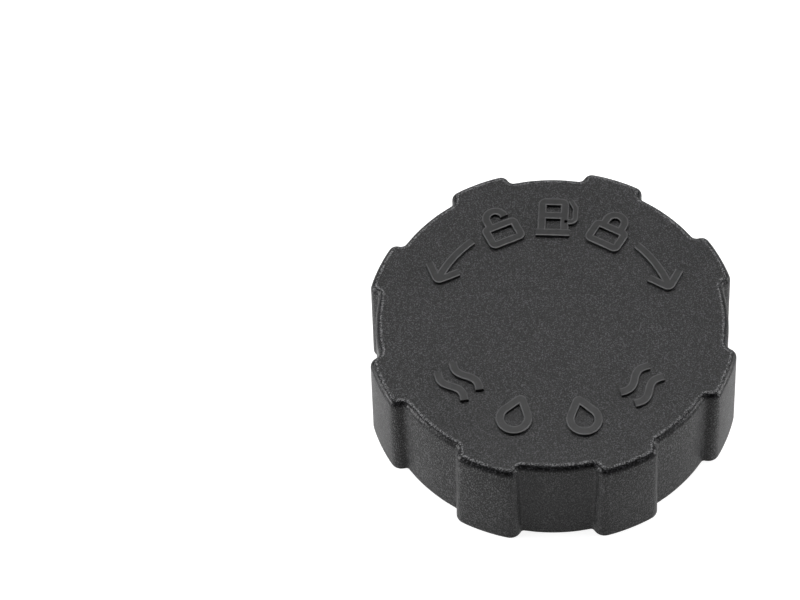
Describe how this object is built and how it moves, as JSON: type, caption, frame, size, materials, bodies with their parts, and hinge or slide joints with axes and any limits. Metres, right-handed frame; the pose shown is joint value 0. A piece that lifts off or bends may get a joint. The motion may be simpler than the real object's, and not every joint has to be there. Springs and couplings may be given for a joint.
{
  "type": "fuel filler cap",
  "caption": "Round screw-on fuel filler cap in grained black plastic, with grip lugs, raised signs on top, an inside thread and a flat rubber seal.",
  "frame": {"origin": "centre of the open rim, on the plane that the cap stands on", "axes": "+Z along the cap's axis, from the open rim to the closed top; +X through the middle of a gap between two lugs"},
  "size_m": [0.0738, 0.0738, 0.0234],
  "materials": {
    "black_plastic": "fine leather-like grain outside, smooth inside",
    "black_rubber": "smooth moulded rubber"
  },
  "bodies": {
    "root": {"cap_body": "black_plastic", "seal_ring": "black_rubber"}
  },
  "joints": []
}
